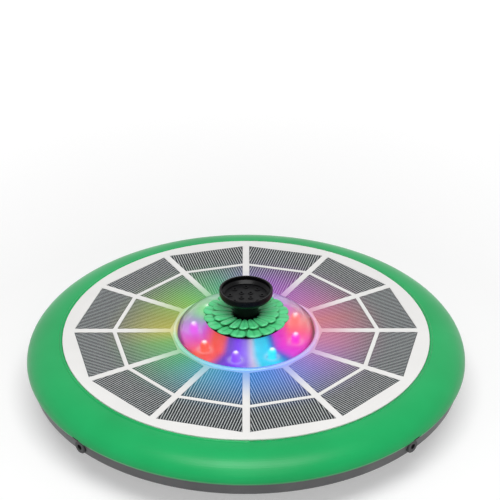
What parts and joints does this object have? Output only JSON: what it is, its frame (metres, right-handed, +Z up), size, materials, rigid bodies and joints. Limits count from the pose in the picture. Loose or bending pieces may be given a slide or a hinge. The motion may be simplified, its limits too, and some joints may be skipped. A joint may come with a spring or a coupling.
{
  "type": "solar fountain pump",
  "caption": "Floating solar fountain: a round solar panel in a green float ring, with a pump, lamps under a clear dome, a petal collar and a spray head.",
  "frame": {"origin": "on the ground under the centre of the float", "axes": "+Z up along the spray head's axis, -Y towards the picture's camera"},
  "size_m": [0.26, 0.26, 0.0707],
  "materials": {
    "base_pan": "fine satin texture",
    "float_ring": "glossy soft plastic",
    "foam_float": "closed-cell foam",
    "rod_sockets": "satin",
    "rubber_feet": "matte",
    "case_screws": "plain",
    "panel_board": "white laminate",
    "inner_cells": "laminated strips",
    "outer_cells": "laminated strips",
    "panel_gasket": "matte",
    "light_collar": "clear",
    "led_dome": "clear, polished",
    "dome_seal": "matte",
    "led_board": "solder mask",
    "leds": "clear lens",
    "reflector": "white",
    "nozzle_seat": "satin",
    "flower_collar": "soft satin",
    "riser_tube": "satin",
    "riser_o_ring": "matte",
    "pump_body": "satin",
    "volute_cover": "satin",
    "pump_shaft": "ground",
    "shaft_bushes": "ground",
    "stator": "wound copper",
    "motor_cap": "satin",
    "pump_screws": "plain",
    "battery_cells": "shrink sleeve",
    "battery_saddles": "plain",
    "control_board": "solder mask",
    "board_screws": "plain",
    "button_switch": "plain",
    "button_seal": "matte",
    "lead_grommet": "matte",
    "wiring": "insulation",
    "impeller": "moulded",
    "rotor_magnet": "ferrite",
    "nozzle_stem": "satin",
    "spray_head": "satin black",
    "spray_plate": "satin black",
    "strainer_cover": "satin",
    "filter_sponge": "open foam",
    "power_button": "soft touch"
  },
  "bodies": {
    "base": {"base_pan": "base_pan", "float_ring": "float_ring", "foam_float": "foam_float", "rod_sockets": "rod_sockets", "rubber_feet": "rubber_feet", "case_screws": "case_screws", "panel_board": "panel_board", "inner_cells": "inner_cells", "outer_cells": "outer_cells", "panel_gasket": "panel_gasket", "light_collar": "light_collar", "led_dome": "led_dome", "dome_seal": "dome_seal", "led_board": "led_board", "leds": "leds", "reflector": "reflector", "nozzle_seat": "nozzle_seat", "flower_collar": "flower_collar", "riser_tube": "riser_tube", "riser_o_ring": "riser_o_ring", "pump_body": "pump_body", "volute_cover": "volute_cover", "pump_shaft": "pump_shaft", "shaft_bushes": "shaft_bushes", "stator": "stator", "motor_cap": "motor_cap", "pump_screws": "pump_screws", "battery_cells": "battery_cells", "battery_saddles": "battery_saddles", "control_board": "control_board", "board_screws": "board_screws", "button_switch": "button_switch", "button_seal": "button_seal", "lead_grommet": "lead_grommet", "wiring": "wiring"},
    "rotor": {"impeller": "impeller", "rotor_magnet": "rotor_magnet"},
    "nozzle": {"nozzle_stem": "nozzle_stem"},
    "head": {"spray_head": "spray_head", "spray_plate": "spray_plate"},
    "strainer": {"strainer_cover": "strainer_cover", "filter_sponge": "filter_sponge"},
    "button": {"power_button": "power_button"}
  },
  "joints": [
    {"name": "impeller_spin", "type": "hinge", "parent": "base", "child": "rotor", "pos_m": [-0.0068, 0, 0.022], "axis": [0, -1, 0], "continuous": true},
    {"name": "nozzle_lift", "type": "slide", "parent": "base", "child": "nozzle", "axis": [0, 0, 1], "range_m": [0, 0.014]},
    {"name": "head_turn", "type": "hinge", "parent": "nozzle", "child": "head", "pos_m": [0, 0, 0.06], "axis": [0, 0, 1], "continuous": true},
    {"name": "strainer_twist", "type": "hinge", "parent": "base", "child": "strainer", "pos_m": [0, 0, 0.005], "axis": [0, 0, 1], "range_deg": [0, 28]},
    {"name": "button_press", "type": "slide", "parent": "base", "child": "button", "axis": [0, 0, 1], "range_m": [0, 0.0012], "stiffness_N_per_m": 400}
  ]
}
